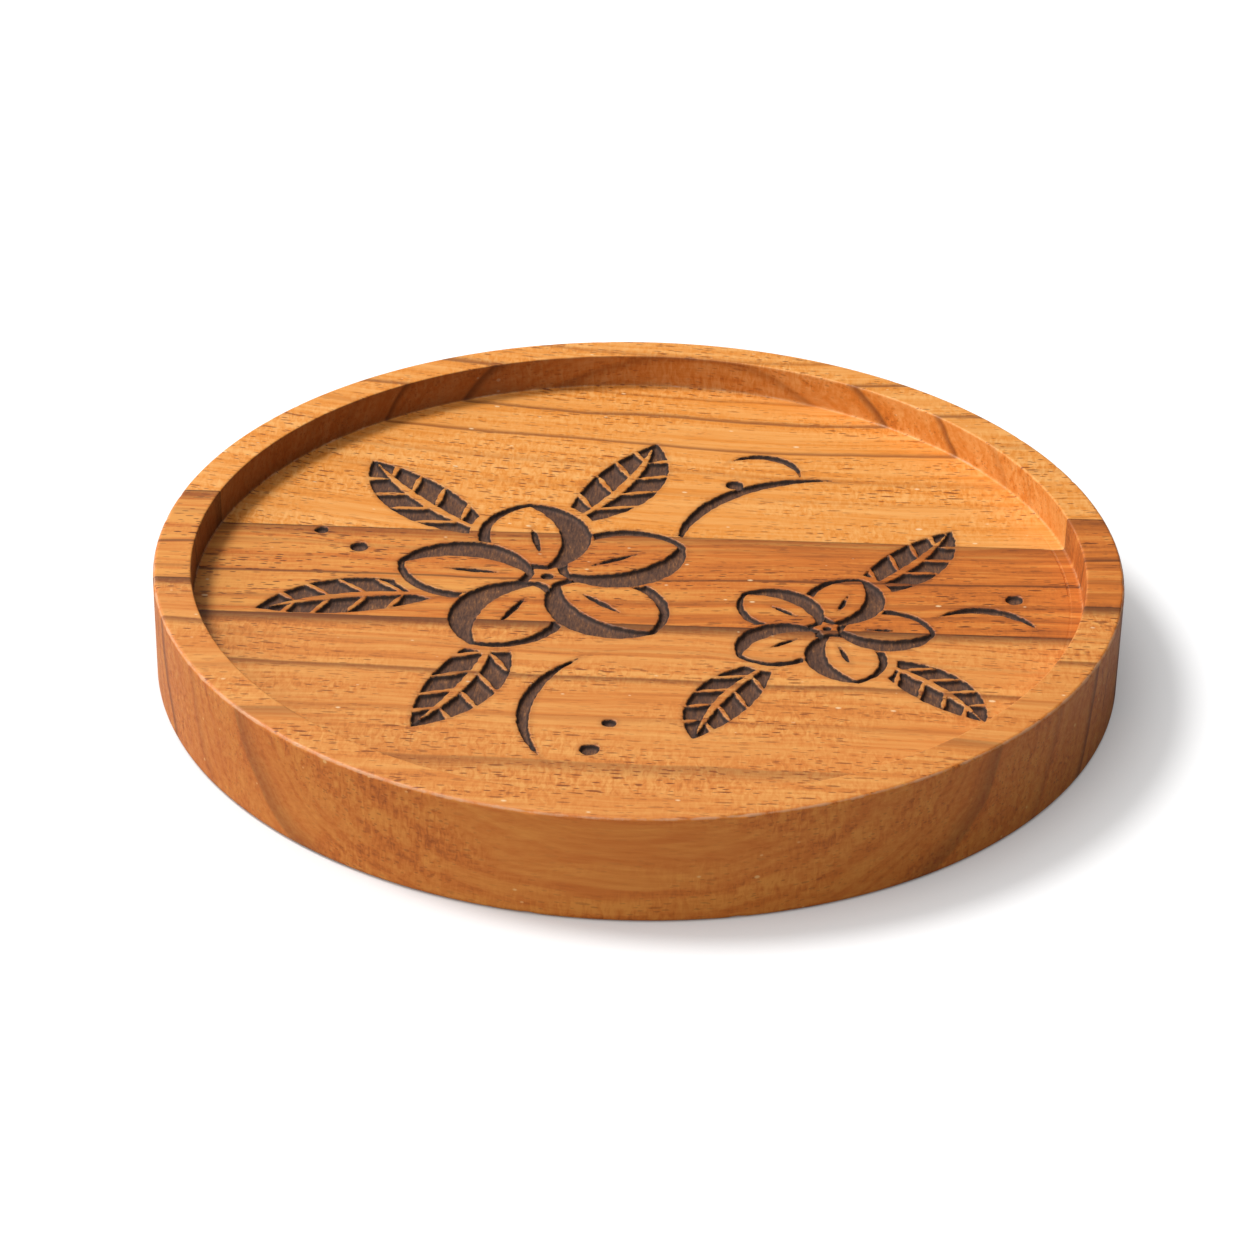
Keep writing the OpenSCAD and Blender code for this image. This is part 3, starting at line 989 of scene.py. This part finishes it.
    # The outer edge and the foot of the recess wall are drawn pale in places, partly rubbed wear and partly painted
    # highlight
    wearAndHighlight = addNode(tree, "Attribute", attribute_name="edgeWearAndHighlight")
    wearPlace = addNode(tree, "VectorMath", {0: inMm, "Scale": finish["wearScale"]}, operation="SCALE")
    wearNoise = addNode(tree, "TexNoise", {"Vector": wearPlace, "Scale": 1.0, "Detail": 5.0, "Roughness": 0.7})
    wearAndHighlightSum = addNode(
        tree, "Math", {0: wearAndHighlight.outputs["Fac"], 1: 0.55, 2: wearNoise.outputs["Fac"]},
        operation="MULTIPLY_ADD",
    )
    wornAndHighlight = addNode(
        tree, "MapRange",
        {"Value": wearAndHighlightSum, "From Min": 0.88, "From Max": 1.08, "To Max": finish["wearAndHighlightShare"]},
    )
    wornAndHighlightWood = addNode(
        tree, "Mix",
        {"Factor": wornAndHighlight, "A": paintedWallShade.outputs["Result"], "B": linear(finish["wornAndHighlight"])},
        data_type="RGBA",
    )
    # Burnt strokes: painted shade near black at the steep edge, worn brown in the middle, with a faint scorched
    # edge
    distance = addNode(tree, "Attribute", attribute_name="carvingDistance")
    edgePlace = addNode(tree, "VectorMath", {0: inMm, "Scale": burn["raggedScale"]}, operation="SCALE")
    edgeNoise = addNode(tree, "TexNoise", {"Vector": edgePlace, "Scale": 1.0, "Detail": 3.0})
    raggedEdge = addNode(
        tree, "Math", {0: edgeNoise.outputs["Fac"], 1: burn["ragged"], 2: distance.outputs["Fac"]},
        operation="MULTIPLY_ADD",
    )
    scorch = addNode(tree, "MapRange", {
        "Value": raggedEdge, "From Min": 0.70, "From Max": 0.10, "To Max": burn["scorchShare"],
    })
    scorched = addNode(
        tree, "Mix",
        {"Factor": scorch, "A": wornAndHighlightWood.outputs["Result"], "B": linear(burn["scorch"])},
        data_type="RGBA",
    )
    # The tip leaves fine scratches across the stroke, so the char shows brown wood between them
    charPlace = addNode(
        tree, "Mapping",
        {
            "Vector": inMm, "Rotation": (0, 0, math.radians(burn["scratchTurn"])),
            "Scale": tuple(1 / size for size in burn["scratch"]),
        },
    )
    charGrain = addNode(tree, "TexNoise", {
        "Vector": charPlace, "Scale": 1.0, "Detail": 4.0, "Roughness": 0.6, "Distortion": 0.4,
    })
    charPatch = addNode(
        tree, "Math", {0: wearNoise.outputs["Fac"], 1: 0.55, 2: charGrain.outputs["Fac"]},
        operation="MULTIPLY_ADD",
    )
    charTone = addNode(tree, "MapRange", {"Value": charPatch, "From Min": 0.50, "From Max": 1.05})
    charColour = addNode(tree, "ValToRGB", {"Fac": charTone})
    setStops(charColour, [(place, linear(colour)) for place, colour in burn["char"]])
    # Painted shade on the steep walls of the strokes
    grooveWallShade = addNode(tree, "MapRange", {
        "Value": raggedEdge, "From Min": -0.26, "From Max": -0.04, "To Max": 0.85,
    })
    burnt = addNode(
        tree, "Mix",
        {"Factor": grooveWallShade, "A": charColour.outputs["Color"], "B": linear(burn["edge"])},
        data_type="RGBA",
    )
    burntMask = addNode(tree, "MapRange", {"Value": raggedEdge, "From Min": 0.12, "From Max": 0.04})
    colour = addNode(
        tree, "Mix",
        {"Factor": burntMask, "A": scorched.outputs["Result"], "B": burnt.outputs["Result"]},
        data_type="RGBA",
    )
    tree.links.new(colour.outputs["Result"], shader.inputs["Base Color"])
    gloss = addNode(tree, "MapRange", {
        "Value": fibre.outputs["Fac"], "From Min": 0.3, "From Max": 0.7,
        "To Min": finish["gloss"][0], "To Max": finish["gloss"][1],
    })
    roughness = addNode(tree, "Mix", {"Factor": burntMask, "A": gloss, "B": burn["roughness"]}, data_type="FLOAT")
    tree.links.new(roughness.outputs["Result"], shader.inputs["Roughness"])
    shader.inputs["IOR"].default_value = finish["ior"]
    relief = addNode(tree, "Math", {0: pores, 1: -0.9, 2: fibre.outputs["Fac"]}, operation="MULTIPLY_ADD")
    charRelief = addNode(
        tree, "Mix",
        {"Factor": burntMask, "A": relief, "B": charGrain.outputs["Fac"]},
        data_type="FLOAT",
    )
    bump = addNode(
        tree, "Bump",
        {
            "Height": charRelief.outputs["Result"], "Strength": finish["reliefStrength"],
            "Distance": finish["reliefDepth"] * mm,
        },
    )
    tree.links.new(bump.outputs[0], shader.inputs["Normal"])
    return material


for staveName, staveLook in staveLooks.items():
    stavePiece = makeStave(staveName)
    stavePiece.data.materials.append(makeTeak(staveLook))
print("staves dressed")

bpy.context.scene.view_settings.view_transform = "Standard"
